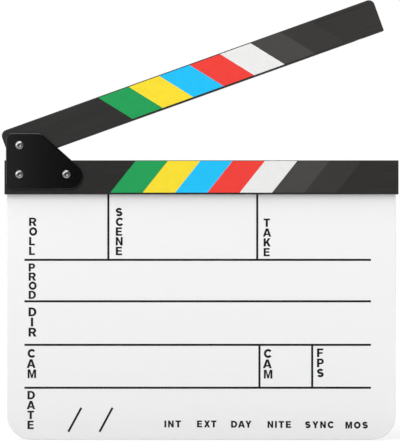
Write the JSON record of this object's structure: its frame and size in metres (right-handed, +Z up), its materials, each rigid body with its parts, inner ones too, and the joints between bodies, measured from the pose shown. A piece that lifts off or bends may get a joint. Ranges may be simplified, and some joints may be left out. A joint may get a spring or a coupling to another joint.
{
  "type": "clapperboard",
  "caption": "White dry-erase film slate in a grooved lower stick, with a colour-striped clap stick hinged above it and held open.",
  "frame": {"origin": "middle of the slate's straight bottom edge, half way through its thickness", "axes": "+Z up the slate towards the sticks, +X to the right seen from the front with the hinge at -X, +Y to the back, so the printed front faces -Y"},
  "size_m": [0.3021, 0.0194, 0.3347],
  "materials": {
    "slate_acrylic": "white dry-erase acrylic, polished edges",
    "stick_wood": "hardwood, smooth charcoal paint",
    "plate_black": "satin black coated steel",
    "screw_steel": "bright stainless, turned",
    "washer_nylon": "natural nylon",
    "magnet_nickel": "nickel plated",
    "stripe_green": "satin printed film",
    "stripe_yellow": "satin printed film",
    "stripe_blue": "satin printed film",
    "stripe_red": "satin printed film",
    "stripe_white": "satin printed film",
    "stripe_mid_grey": "satin printed film",
    "stripe_dark_grey": "satin printed film"
  },
  "bodies": {
    "slate": {"slate_board": "slate_acrylic", "lower_stick": "stick_wood", "front_hinge_plate": "plate_black", "rear_hinge_plate": "plate_black", "front_pivot_washer": "washer_nylon", "rear_pivot_washer": "washer_nylon", "lower_magnet": "magnet_nickel", "pivot_screw": "screw_steel", "pivot_sleeve_nut": "screw_steel", "left_fixing_screw": "screw_steel", "left_fixing_sleeve_nut": "screw_steel", "right_fixing_screw": "screw_steel", "right_fixing_sleeve_nut": "screw_steel", "lower_green_stripe": "stripe_green", "lower_yellow_stripe": "stripe_yellow", "lower_blue_stripe": "stripe_blue", "lower_red_stripe": "stripe_red", "lower_white_stripe": "stripe_white", "lower_mid_grey_stripe": "stripe_mid_grey", "lower_dark_grey_stripe": "stripe_dark_grey"},
    "clap_stick": {"upper_stick": "stick_wood", "upper_magnet": "magnet_nickel", "upper_green_stripe": "stripe_green", "upper_yellow_stripe": "stripe_yellow", "upper_blue_stripe": "stripe_blue", "upper_red_stripe": "stripe_red", "upper_white_stripe": "stripe_white", "upper_mid_grey_stripe": "stripe_mid_grey", "upper_dark_grey_stripe": "stripe_dark_grey"}
  },
  "joints": [
    {"name": "clap_hinge", "type": "hinge", "parent": "slate", "child": "clap_stick", "pos_m": [-0.1384, 0, 0.2242], "axis": [0, -1, 0], "range_deg": [-19.73, 72.27]}
  ]
}
